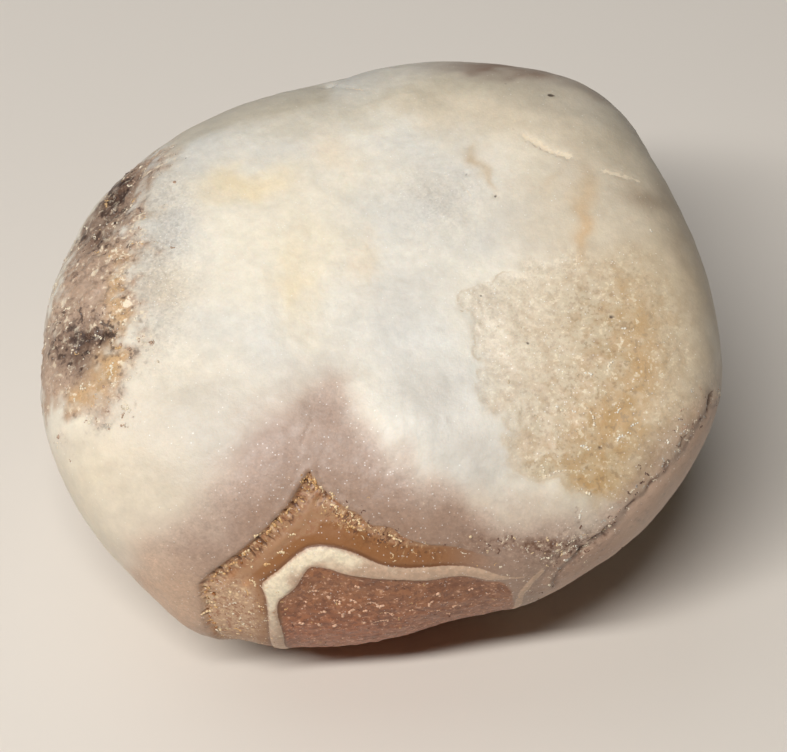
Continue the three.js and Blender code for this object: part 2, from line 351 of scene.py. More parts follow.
def drawn(directions, centre, reach, strength):
    """Directions drawn together round a centre."""
    cosine = np.clip(directions @ centre, -1, 1)
    angle = np.arccos(cosine)
    aside = directions - cosine[:, None] * centre
    aside /= np.maximum(np.linalg.norm(aside, axis=1), 1e-9)[:, None]
    nearer = angle * (1 - strength * hump(angle, 0, math.radians(reach)))
    return np.cos(nearer)[:, None] * centre + np.sin(nearer)[:, None] * aside


directions, triangles = geodesic(DIVISIONS)
for pixel, reach, strength in FINER:
    directions = unit(drawn(directions, place(pixel), reach, strength))


def blurred(values, width):
    """Values relaxed over the skin, as if blurred over a width in mm."""
    edges = np.vstack([triangles[:, [0, 1]], triangles[:, [1, 2]], triangles[:, [2, 0]]])
    edges = np.unique(np.sort(edges, axis=1), axis=0)
    one, other = edges.T
    total = len(values)
    gaps = np.linalg.norm(directions[one] - directions[other], axis=1) * SPHERE
    count = np.bincount(one, minlength=total) + np.bincount(other, minlength=total)
    gap = (np.bincount(one, gaps, total) + np.bincount(other, gaps, total)) / count
    pull = np.minimum(STRONGEST_PULL, 2 * width**2 / (BLUR_ROUNDS * gap**2))
    for _ in range(BLUR_ROUNDS):
        near = np.bincount(one, values[other], total) + np.bincount(other, values[one], total)
        values = values + pull * (near / count - values)
    return values


worn = blurred(np.array([cad_reach(direction) for direction in directions]), WORN_BLUR)
sites = directions * SPHERE
u, v = seen_at(MIDDLE + directions * worn[:, None])
facing = directions @ TO_EYE
front = smooth(facing, -0.12, 0.12)
behind = 1 - front


def rough(size, octaves, shift):
    """Smooth noise over the skin, about -1 to 1, with lumps about size mm across."""
    places = sites / size + (shift, 1.7 * shift, -shift)
    value = np.array([noise.fractal(site, 1.0, 2.0, octaves) for site in places])
    return value * 1.5


def to_nearest(size, shift):
    """Distance to the nearest of centres scattered about size mm apart, in such sizes."""
    places = sites / size + (shift, -shift, 2.3 * shift)
    return np.array([noise.voronoi(site)[0][0] for site in places])


# Soft stains are drawn with their outlines wavering by about this many pixels.
STAIN_WAVER = 9
warped_u = u + STAIN_WAVER * rough(5.0, 3, 71.0)
warped_v = v + STAIN_WAVER * rough(5.0, 3, 83.0)


def stain(centre, reach, tilt=0.0):
    """A soft spot on the show side, 1 at a photo pixel and fading over reach pixels across and
    along. tilt turns it clockwise, in degrees."""
    turn = math.radians(tilt)
    x, y = warped_u - centre[0], warped_v - centre[1]
    across = x * math.cos(turn) + y * math.sin(turn)
    along = y * math.cos(turn) - x * math.sin(turn)
    return front * np.exp(-((across / reach[0]) ** 2) - (along / reach[1]) ** 2)


def stains(*rows):
    """The sum of soft spots, each a strength and then what stain takes."""
    return sum(strength * stain(*shape) for strength, *shape in rows)


def region(centre, reach):
    """A soft spot anywhere on the stone: centre is an azimuth and an elevation, and reach is in
    degrees."""
    azimuth, elevation = np.radians(centre)
    flat = math.cos(elevation)
    pole = np.array([flat * math.cos(azimuth), flat * math.sin(azimuth), math.sin(elevation)])
    return hump(np.degrees(np.arccos(np.clip(directions @ pole, -1, 1))), 0, reach)


# ---- How far inside each kind of stone every place is, in mm; below 0 is outside it ----

fine_noise = rough(0.9, 3, 3.0)
crumbs = rough(1.5, 3, 11.0)
lumps = rough(4.0, 2, 23.0)
broad = rough(14.0, 3, 31.0)

# The vein was drawn this many mm too wide, and the side vein is this wide on each side of its line.
VEIN_INSET = 0.10
SIDE_VEIN_HALF = 0.34


def inside(pixels):
    """How far inside an outline each place is."""
    return Line(pixels, closed=True).depth(directions)


opened = inside(OPENED) + 0.05 * crumbs
ledge_along = Line(LEDGE_EDGE).distance(directions)[1]
vein = inside(VEIN) - VEIN_INSET + 0.06 * lumps
side_vein = SIDE_VEIN_HALF - Line(SIDE_VEIN).distance(directions)[0] + 0.06 * crumbs
core = inside(CORE) + 0.10 * lumps
mauve = inside(MAUVE_STONE) + 1.2 * lumps
olive = inside(OLIVE_FILM) + 0.6 * lumps

# Away from its upper ridge, the bevel's edge is ragged.
ridge_gap = Line(BEVEL[:RIDGE_POINTS]).distance(directions)[0]
near_ridge = 1 - smooth(ridge_gap, 1.5, 4.0)
bevel = inside(BEVEL) + 0.25 * crumbs + 0.2 * lumps
bevel += 3.5 * (lumps + 0.4) * smooth(ridge_gap, 4, 11)

# The tan patch has an edge with lobes of about this many mm. More of both it and the crust lies on
# the far sides, and off_front keeps that off the show side.
LOBES = 2.2
off_front = 14 * front
tan_patch = inside(TAN_PATCH) + 2.0 * (0.42 - to_nearest(LOBES, 5.0)) + 0.5 * lumps
tan_patch = np.maximum(tan_patch, 9 * (broad - 0.12) - off_front)
crust = inside(CRUST) + 0.9 * lumps
far_crust = 24 * (region((120, 12), 17) + region((20, -38), 14) + region((205, -40), 16) - 0.45)
crust = np.maximum(crust, far_crust + 3 * broad - off_front)

in_tan = smooth(tan_patch, -0.3, 0.6)
in_crust = smooth(crust + 1.6 * crumbs + 0.5 * fine_noise, -1.6, 1.8)
in_core = smooth(core, 0.0, 0.4)

# The ledge's left arm is a comb of teeth, its right arm is a jumble of grains, and to the right
# and underneath it dies out.
left_arm = front * smooth(322 - u, 0, 10)
closing = (1 - front * smooth(u, 430, 510)) * (1 - smooth(-facing, 0.0, 0.45))
right_arm = closing * front * (1 - left_arm) * hump(opened, 0.9, 1.2) * smooth(480 - u, 0, 90)
comb = left_arm * closing * smooth(opened, -0.05, 0.12) * (1 - smooth(opened, 1.2, 2.0))
rib = left_arm * closing * hump(opened, 2.15, 0.42) * smooth(620 - v, 0, 25)

# The teeth are smooth noise, about -1 to 1, drawn out down the ledge.
TOOTH_WIDTH, TOOTH_LENGTH, TEETH_SEED = 0.42, 2.2, 3.0
tooth_places = [ledge_along / TOOTH_WIDTH, opened / TOOTH_LENGTH, np.full(len(opened), TEETH_SEED)]
teeth = 1.6 * np.array([noise.noise(site) for site in np.stack(tooth_places, axis=1)])
gaps = comb * smooth(-0.12 - teeth - 0.22 * opened, -0.12, 0.30)
# The slope turns to dark caramel towards the vein.
slope = left_arm * smooth(vein, -1.8, -0.8) + (1 - left_arm) * smooth(vein, -3.0, -1.9)

# ---- Relief over the worn surface, in mm ----

RIND_WAVES, RIND_GRAIN = 0.05, 0.012
# The ledge's step, what its left arm adds to it, the lip above it, and what lies below it.
STEP, STEP_LEFT, LIP = 0.20, 0.30, 0.07
TEETH, TEETH_GAPS, RIB, JUMBLE = 0.10, 0.20, 0.12, 0.09
VEIN_PROUD, SIDE_VEIN_PROUD, VEIN_GROOVE = 0.15, 0.05, 0.10
CORE_SUNK, TAN_SUNK, CRUST_SUNK, CRUST_PITS = 0.09, 0.07, 0.16, 0.30
RIDGE_RAISED, RIDGE_CRUMBS, RIDGE_GROOVE = 0.05, 0.14, 0.16
PINHOLE_DEPTH = 0.15
# About half the width of a blurred step, in widths of the blur.
SOFTENED = 1.1


def sharpened(depth):
    """What a crisp step has that the blurred stone under it lacks."""
    soft = 0.5 * (1 + np.tanh(depth / WORN_BLUR / SOFTENED))
    return smooth(depth, -0.10, 0.16) - soft


def ledge_relief():
    """The step from the rind's lip down to the hollow, with the comb and the rib."""
    relief = -(STEP + STEP_LEFT * left_arm) * closing * sharpened(opened)
    relief += LIP * closing * hump(opened, -0.35, 0.35)
    relief += TEETH * comb * (teeth + 0.6 * crumbs) - TEETH_GAPS * gaps
    relief += RIB * rib * (1 + 0.5 * crumbs)
    return relief + JUMBLE * right_arm * (crumbs + fine_noise)


def vein_relief():
    """The vein stands a little proud, with a fine groove along its upper edge."""
    relief = VEIN_PROUD * smooth(vein, -0.08, 0.4)
    relief += SIDE_VEIN_PROUD * smooth(side_vein, -0.1, 0.3)
    above = smooth(-core, 0.3, 0.9)
    return relief - VEIN_GROOVE * above * closing * hump(vein, -0.22, 0.2)


def crust_depths():
    """How deep the crust's surface is, with its crumbs and pits."""
    pits = smooth(0.40 - to_nearest(1.3, 9.0), 0.0, 0.3) * smooth(lumps, -0.4, 0.6)
    return CRUST_SUNK - 0.16 * crumbs - 0.12 * fine_noise + CRUST_PITS * pits


def from_pixel(pixel):
    """How far each place is from the one at a photo pixel, in mm."""
    return np.linalg.norm(sites - place(pixel) * SPHERE, axis=1)


def hollows():
    """How deep the hollows and the far sides' dents are."""
    relief = np.zeros(len(directions))
    for pixel, radius, depth in HOLLOWS:
        relief += depth * hump(from_pixel(pixel), 0, radius)
    for azimuth, elevation, width, depth in FAR_DENTS:
        relief += depth * region((azimuth, elevation), width)
    return relief


# Paint spreads this far in mm from a crack, about a cell of the mesh, however fine the crack is.
# A crack as deep as the first of these depths in mm is painted fully, and the share of the paint
# that the faintest one gets is the second.
CRACK_SPREAD = 0.16
CRACK_DEEP, CRACK_FAINT = 0.25, 0.3


def cracks():
    """The cracks' relief, and how strongly filled and open ones are painted at every place."""
    relief = np.zeros(len(directions))
    paints = {True: np.zeros(len(directions)), False: np.zeros(len(directions))}
    for pixels, width, depth, filled in CRACKS:
        gap = Line(pixels).distance(directions)[0] + 0.10 * np.abs(crumbs)
        strength = np.clip(depth / CRACK_DEEP, CRACK_FAINT, 1.0)
        painted = strength * hump(gap, 0, width / 2 + CRACK_SPREAD)
        paints[filled] = np.maximum(paints[filled], painted)
        relief -= depth * hump(gap, 0, width)
    return relief, paints[True], paints[False]


# Thin crooked ridges in the tan patch, and how far inside a pinhole each place is.
worms = smooth(0.09 - np.abs(rough(2.0, 1, 47.0)), 0.0, 0.08)
worms = worms * smooth(rough(2.6, 1, 53.0), 0.0, 0.3)
pinhole = np.max([radius - from_pixel(pixel) for pixel, radius in PINHOLES], axis=0)
crust_depth = crust_depths()
hollow = hollows()
crack_height, crack_quartz, crack_open = cracks()
on_ridge = near_ridge * hump(bevel, -0.4, 0.8)

relief = RIND_WAVES * rough(2.8, 3, 61.0) + RIND_GRAIN * fine_noise
relief += ledge_relief() + vein_relief() + crack_height - hollow
relief -= in_core * (CORE_SUNK - 0.06 * crumbs - 0.05 * fine_noise)
relief -= in_tan * (TAN_SUNK - 0.05 * crumbs - 0.05 * lumps - 0.03 * fine_noise - 0.05 * worms)
relief -= in_crust * crust_depth
relief += on_ridge * (RIDGE_RAISED + RIDGE_CRUMBS * crumbs)
relief -= RIDGE_GROOVE * near_ridge * hump(bevel, 0.5, 0.5) * (1 + 0.7 * crumbs)
relief -= PINHOLE_DEPTH * smooth(pinhole, -0.1, 0.15)

# ---- The skin's mesh ----

# What would lie below the floor is laid on it, and nothing goes past the CAD stone's box.
points = MIDDLE + directions * (worn + relief)[:, None]
below = points[:, 2] < 0
points[below] = MIDDLE + directions[below] * (-MIDDLE[2] / directions[below, 2])[:, None]
points[:, 2] = np.maximum(points[:, 2], 0)
low, high = (np.array(corner) / METRES for corner in CAD_BOX)
overshoot = np.maximum(points.max(0) / high, points.min(0) / np.minimum(low, -1e-9))
points /= np.maximum(overshoot, 1)


def mesh_object(name, points, faces):
    """A mesh object of points in mm."""
    mesh = bpy.data.meshes.new(name)
    mesh.vertices.add(len(points))
    mesh.vertices.foreach_set("co", (points * METRES).astype(np.float32).ravel())
    mesh.loops.add(faces.size)
    mesh.loops.foreach_set("vertex_index", faces.astype(np.int32).ravel())
    mesh.polygons.add(len(faces))
    mesh.polygons.foreach_set("loop_start", np.arange(0, faces.size, 3, dtype=np.int32))
    mesh.update(calc_edges=True)
    made = bpy.data.objects.new(name, mesh)
    bpy.context.collection.objects.link(made)
    return made


def give(made, name, values):
    """Stores a value or a colour for each vertex."""
    kind = "FLOAT" if values.ndim == 1 else "FLOAT_COLOR"
    layer = made.data.attributes.new(name, kind, "POINT")
    if values.ndim == 1:
        layer.data.foreach_set("value", values.astype(np.float32))
    else:
        filled = np.hstack([values, np.ones((len(values), 1))])
        layer.data.foreach_set("color", filled.astype(np.float32).ravel())


stone = mesh_object("stone_skin", points, triangles)
stone.data.polygons.foreach_set("use_smooth", np.ones(len(triangles), bool))

# ---- Soft colours of the rind ----

WHITE = linear(236, 228, 211)
COOL = linear(216, 214, 208)
CREAM = linear(216, 201, 178)
HONEY = linear(240, 216, 166)
PEACH = linear(230, 206, 172)
GREY = linear(196, 189, 178)
BEIGE = linear(208, 191, 164)
OLIVE = linear(188, 176, 152)
TAN = linear(196, 172, 138)
ORANGE = linear(214, 176, 128)
SMOKE = linear(156, 136, 114)
MAUVE_PALE = linear(200, 180, 163)
MAUVE = linear(172, 146, 130)
MAUVE_DEEP = linear(156, 126, 106)
ROSE = linear(214, 180, 152)
BROWN = linear(128, 96, 76)
BEVEL_BROWN = linear(166, 128, 104)
# Pale painted bounce light, for the rim where it turns under.
RIM_BOUNCE_LIGHT = linear(244, 222, 208)
CRUST_ROSE = linear(180, 151, 129)
CRUST_AMBER = linear(208, 170, 122)
CRUST_FRINGE = linear(204, 190, 172)
CRUST_BROWN = linear(106, 81, 66)

# Soft stains: colour, strength, photo pixel, reach in pixels, and tilt in degrees.
STAINS = [
    (COOL, 0.6, (250, 150), (70, 18), -12), (COOL, 0.55, (165, 240), (26, 70), 8),
    (COOL, 0.5, (385, 235), (30, 55), -12), (COOL, 0.6, (420, 150), (70, 26), 10),
    (COOL, 0.8, (440, 395), (60, 80), -20), (COOL, 0.5, (480, 480), (60, 30), 10),
    (COOL, 0.6, (395, 305), (50, 50), 0), (GREY, 0.55, (150, 190), (20, 26), 30),
    (GREY, 0.65, (155, 270), (27, 84), 5), (SMOKE, 0.12, (446, 186), (30, 22), 25),
    (GREY, 0.35, (438, 200), (40, 36), 20), (GREY, 0.35, (330, 372), (26, 20), 0),
    (GREY, 0.7, (430, 395), (40, 34), 10), (GREY, 0.4, (395, 300), (50, 40), 0),
    (GREY, 0.6, (545, 98), (50, 14), 8), (GREY, 0.95, (475, 458), (50, 34), 20),
    (GREY, 0.35, (200, 440), (50, 40), -40), (HONEY, 0.58, (240, 182), (54, 20), -8),
    (HONEY, 0.45, (296, 288), (20, 40), -6), (HONEY, 0.25, (310, 230), (60, 40), 0),
    (HONEY, 0.2, (90, 480), (50, 50), 0), (PEACH, 0.35, (360, 262), (12, 26), 0),
    (PEACH, 0.35, (335, 150), (30, 16), 30), (BEIGE, 0.7, (590, 140), (90, 50), 25),
    (BEIGE, 0.6, (490, 120), (60, 24), 0), (BEIGE, 0.95, (660, 270), (76, 110), -12),
    (BEIGE, 0.55, (560, 215), (70, 50), 0), (BEIGE, 0.75, (620, 470), (80, 50), -35),
    (BEIGE, 0.5, (530, 520), (60, 16), 5), (BEIGE, 0.5, (430, 104), (40, 16), 0),
    (OLIVE, 0.45, (330, 112), (80, 18), -8), (OLIVE, 0.55, (470, 88), (110, 16), 3),
    (OLIVE, 0.35, (625, 130), (40, 50), -30), (TAN, 0.5, (582, 200), (10, 36), -4),
    (ORANGE, 0.6, (586, 230), (6, 32), -4), (TAN, 0.7, (477, 164), (8, 12), -35),
    (TAN, 0.6, (488, 182), (5, 16), -35), (TAN, 0.35, (170, 290), (30, 26), 20),
    (ORANGE, 0.35, (645, 335), (12, 26), -6), (SMOKE, 0.65, (648, 200), (26, 13), 32),
    (SMOKE, 0.45, (684, 260), (14, 50), -14), (SMOKE, 0.25, (706, 340), (9, 50), -4),
    (BROWN, 1.0, (500, 66), (62, 13), 3), (BROWN, 0.45, (596, 90), (50, 9), 24),
    (BROWN, 0.3, (140, 162), (24, 10), -42), (CREAM, 0.8, (170, 470), (110, 110), 0),
    (GREY, 0.6, (205, 430), (60, 50), 0), (TAN, 0.45, (690, 400), (30, 90), 0),
    (BEVEL_BROWN, 0.55, (611, 351), (5, 16), -8), (TAN, 0.3, (560, 180), (5, 14), 10),
    (COOL, 0.5, (600, 295), (9, 9), 0),
]


# The crust's darker and warmer places, and those where it is smoother.
# The darker places are brown in colour and, at the crust's pits, also carry painted shade.
crust_dark = behind * smooth(lumps, 0.1, 0.7) + stains(
    (1.0, (116, 192), (15, 34), 30), (0.7, (98, 240), (18, 13), -20),
    (0.55, (84, 345), (32, 26), 10), (0.5, (90, 336), (20, 11), 6), (0.4, (72, 358), (14, 13), 20),
)
crust_amber = 0.5 * behind + stains(
    (1.0, (114, 325), (13, 44), 6), (0.35, (122, 275), (12, 24), 0),
    (0.9, (106, 368), (22, 12), -40), (0.9, (78, 397), (28, 12), -20),
)
crust_smooth = stains((1.0, (84, 288), (18, 22), 10), (1.0, (48, 360), (9, 60), 4))
crust_halo = smooth(crust, -4.5, -0.3) * smooth(lumps + 0.9 * crumbs, -1.0, 0.7)
grit = in_crust * (1 - 0.65 * crust_smooth) + 0.6 * crust_halo
grit = grit + 0.6 * stain((150, 275), (30, 95), 6)


def rind_colour():
    """The rind's colour at every place. Each layer is a colour and how much of it there is."""
    layers = [(COOL, 0.25 + 0.5 * broad), (CREAM, behind * (0.5 + 0.6 * lumps))]
    layers += [(colour, strength * stain(*shape)) for colour, strength, *shape in STAINS]
    far_mauve = 0.7 * region((250, -60), 30) + 0.5 * region((60, -20), 22)
    # Painted bounce light: a pale line on the bevel's rim, where it turns under as the eye sees it.
    rim = hump(facing, 0.02, 0.035) * smooth(bevel, 0.0, 0.8) * front
    layers += [
        (OLIVE, 0.55 * smooth(olive, -1.2, 1.2)),
        (MAUVE_PALE, 0.85 * smooth(mauve, -2.8, 1.4)),
        (MAUVE, 0.85 * smooth(mauve, -0.2, 3.4)),
        (MAUVE, 0.95 * stain((268, 462), (36, 84), 38)),
        (MAUVE, 0.5 * stain((368, 466), (26, 60), -38)),
        (MAUVE_DEEP, 0.3 * stain((282, 452), (30, 60), 38)),
        (MAUVE_DEEP, 0.65 * smooth(mauve, 2.0, 6.0)),
        (ROSE, 0.75 * stain((165, 595), (60, 36), 40)),
        (MAUVE, 0.8 * stain((650, 470), (90, 18), -50)),
        (MAUVE_DEEP, 0.6 * stain((430, 522), (60, 16), 14)),
        (BROWN, 0.7 * stain((530, 548), (70, 12), 3) * (0.8 + 0.5 * crumbs)),
        (RIM_BOUNCE_LIGHT, 0.55 * rim),
        (MAUVE, behind * far_mauve),
        (CRUST_FRINGE, 0.75 * crust_halo),
        (CRUST_ROSE, 0.9 * in_crust),
        (CRUST_BROWN, 1.1 * in_crust * crust_dark),
        (CRUST_AMBER, 0.9 * in_crust * crust_amber * (1 - np.clip(crust_dark, 0, 1))),
        (GREY, 0.8 * stain((64, 232), (9, 34), 26)),
    ]
    rind = np.tile(WHITE, (len(directions), 1))
    for colour, amount in layers:
        rind = rind + (colour - rind) * np.clip(amount, 0, 1)[:, None]
    return rind


# How sugary the rind is, where the tan patch is amber, and how softly and strongly it is painted.
# The patch has a crisp edge on its left alone, and is faint there.
sugar = 0.12 + 0.5 * smooth(mauve, -1.5, 2.0) + 0.6 * in_tan + 0.3 * in_crust
sugar = sugar + 0.5 * hump(bevel, -1.0, 2.5) * near_ridge
sugar = sugar + stains((0.8, (165, 262), (32, 95)), (0.4, (440, 200), (44, 38)))
amber = 0.4 * behind * smooth(lumps, 0, 0.8) + stains(
    (0.9, (645, 340), (24, 60), -8), (1.3, (628, 425), (44, 34)), (1.1, (592, 488), (36, 28)),
    (0.5, (648, 385), (30, 30)), (0.5, (505, 325), (34, 36)), (0.45, (494, 406), (18, 16)),
    (0.45, (512, 452), (18, 18)),
)
tan_blur = 1.2 + 3.8 * front * smooth(u - 0.5 * v, 360, 440) + 1.8 * behind
tan_strength = 0.36 + 0.6 * smooth(u + 0.35 * v, 590, 740)
tan_strength = front * tan_strength + 0.6 * behind
# Dark and pale specks beside the bevel, gravel and an orange tinge in the hollow, and where the
# vein is cream.
speckled = stains((1.0, (560, 552), (30, 12), -18), (0.6, (510, 545), (40, 8), 4))
gravel = stains((1.0, (234, 614), (38, 34)), (0.7, (208, 600), (14, 28)))
orange = stains((0.7, (252, 592), (6, 4), 20), (0.4, (232, 578), (12, 4), -30))
vein_pale = stains(
    (1.1, (326, 552), (34, 15), 8), (0.2, (385, 568), (44, 8), 14), (1.2, (272, 590), (16, 22)),
    (0.6, (295, 566), (16, 12)), (0.3, (272, 625), (12, 20)),
)

give(stone, "rind", rind_colour())
painted = dict(
    opened=opened, shut=1 - closing, along=ledge_along, comb=comb, gaps=gaps, rib=rib,
    jumble=right_arm, slope=slope, vein=np.maximum(vein, side_vein), vein_pale=vein_pale, core=core,
    core_low=smooth(v, 590, 640), tan_patch=tan_patch, tan_blur=tan_blur, tan_strength=tan_strength,
    amber=amber, worms=worms, grit=grit, crust_depth=crust_depth + hollow, crust_dark=crust_dark,
    bevel=bevel, ridge_gap=ridge_gap, near_ridge=near_ridge, crack_quartz=crack_quartz,
    crack_open=crack_open, pinhole=pinhole, gravel=gravel, orange=orange, sugar=sugar,
    speckled=speckled,
)
for name, values in painted.items():
    give(stone, name, values)

# ---- Materials ----

QUARTZ_IOR = 1.54
# About how large the crystal faces are that may glint, in mm.
GLINT_SIZE = 0.2


class Paint:
    """Short ways to put shader nodes together in one material."""

    def __init__(self, name):
        self.material = bpy.data.materials.new(name)
        self.material.use_nodes = True
        self.tree = self.material.node_tree
        self.shader = self.tree.nodes["Principled BSDF"]
        self.place = self.scaled(self.new("ShaderNodeTexCoord").outputs["Object"], 1 / METRES)

    def new(self, kind, inputs=None, **settings):
        node = self.tree.nodes.new(kind)
        for name, value in settings.items():
            setattr(node, name, value)
        for name, value in (inputs or {}).items():
            self.feed(node.inputs[name], value)
        return node

    def feed(self, socket, value):
        """Links a socket, or sets a number or a colour on it. A name stands for the value that
        the mesh stores under it."""
        if isinstance(value, str):
            value = self.stored(value, "Fac")
        if isinstance(value, bpy.types.NodeSocket):
            self.tree.links.new(value, socket)
        elif isinstance(value, np.ndarray):
            socket.default_value = (*value, 1)
        else:
            socket.default_value = value

    def stored(self, name, output="Color"):
        return self.new("ShaderNodeAttribute", attribute_name=name).outputs[output]

    def noise(self, size, detail=2.0, seed=0.0, at=None):
        """Noise from 0 to 1 with lumps about size mm across."""
        place = self.place if at is None else at
        inputs = {"Vector": place, "W": seed, "Scale": 1 / size, "Detail": detail}
        return self.new("ShaderNodeTexNoise", inputs, noise_dimensions="4D").outputs[0]

    def cells(self, size):
        """Distance to the nearest of scattered centres, in cell sizes, and two random numbers
        for each centre."""
        inputs = {"Vector": self.place, "Scale": 1 / size}
        node = self.new("ShaderNodeTexVoronoi", inputs)
        split = self.new("ShaderNodeSeparateColor", {"Color": node.outputs["Color"]})
        return node.outputs["Distance"], split.outputs["Red"], split.outputs["Green"]

    def vector(self, *parts):
        return self.new("ShaderNodeCombineXYZ", dict(zip("XYZ", parts))).outputs[0]

    def maths(self, operation, *values):
        node = self.new("ShaderNodeMath", operation=operation)
        for socket, value in zip(node.inputs, values):
            self.feed(socket, value)
        return node.outputs[0]

    def product(self, *values):
        total = values[0]
        for value in values[1:]:
            total = self.maths("MULTIPLY", total, value)
        return total

    def sum(self, *terms):
        """Adds terms. A pair is a term and its factor."""
        total = None
        for term in terms:
            if isinstance(term, tuple):
                term = self.maths("MULTIPLY", *term)
            total = term if total is None else self.maths("ADD", total, term)
        return total

    def ramp(self, value, low, high, start=0.0, end=1.0):
        """start below low, end above high and smooth between them."""
        inputs = {"Value": value, "From Min": low, "From Max": high, "To Min": start, "To Max": end}
        node = self.new("ShaderNodeMapRange", inputs, interpolation_type="SMOOTHSTEP")
        return node.outputs[0]

    def line(self, value, centre, width, strength):
        """A band, strongest where the value is at its centre."""
        return self.ramp(self.maths("ABSOLUTE", self.sum(value, -centre)), 0, width, strength, 0)

    def mix(self, base, top, amount):
        node = self.new("ShaderNodeMix", data_type="RGBA")
        self.feed(node.inputs[0], amount)
        self.feed(node.inputs[6], base)
        self.feed(node.inputs[7], top)
        return node.outputs[2]

    def lay(self, base, top, value, low, high, strength=1.0):
        """The base with the top colour coming in as the value goes from low to high."""
        return self.mix(base, top, self.ramp(value, low, high, 0, strength))

    def scaled(self, colour, amount):
        """A colour or a place times a factor."""
        node = self.new("ShaderNodeVectorMath", operation="SCALE")
        self.feed(node.inputs[0], colour)
        self.feed(node.inputs["Scale"], amount)
        return node.outputs[0]

    def bump(self, height, distance):
        """Bump from a height of 0 to 1, distance mm high."""
        node = self.new("ShaderNodeBump", {"Height": height, "Distance": distance * METRES})
        self.feed(self.shader.inputs["Normal"], node.outputs[0])

    def settle(self, **values):
        for name, value in values.items():
            self.feed(self.shader.inputs[name.replace("_", " ")], value)

    def quartz(self, colour, roughness, milky, spread, deep):
        """Quartz, with light scattered in it over distances of deep mm, as spread for each of
        red, green and blue."""
        self.settle(Base_Color=colour, Roughness=roughness, IOR=QUARTZ_IOR)
        self.settle(Subsurface_Weight=milky, Subsurface_Radius=spread)
        self.settle(Subsurface_Scale=deep * METRES)


GOLD = linear(216, 172, 120)
GOLD_PALE = linear(236, 206, 164)
CARAMEL = linear(150, 101, 60)
CARAMEL_DARK = linear(104, 64, 38)
COMB_TAN = linear(170, 129, 95)
COMB_DARK = linear(96, 58, 36)
VEIN_CREAM = linear(240, 225, 198)
VEIN_TAN = linear(198, 168, 143)
CORE_BROWN = linear(158, 106, 72)
CORE_RED = linear(172, 104, 66)
CORE_DARK = linear(112, 68, 48)
CORE_ROSE = linear(226, 180, 150)
TAN_PALE = linear(198, 180, 150)
TAN_DEEP = linear(186, 159, 122)
TAN_DARK = linear(158, 130, 96)
TAN_LIGHT = linear(228, 211, 180)
AMBER = linear(192, 156, 106)
CRUST_DARK = linear(66, 48, 40)
CRUST_CREAM = linear(238, 222, 196)
BEVEL_ROSE = linear(188, 154, 132)
BEVEL_DARK = linear(108, 80, 68)
GRAVEL_TAN = linear(192, 156, 126)
GRAVEL_ORANGE = linear(206, 140, 84)
GLINT = linear(252, 250, 246)
PIT_DARK = linear(66, 46, 36)
CRACK_BROWN = linear(112, 80, 62)


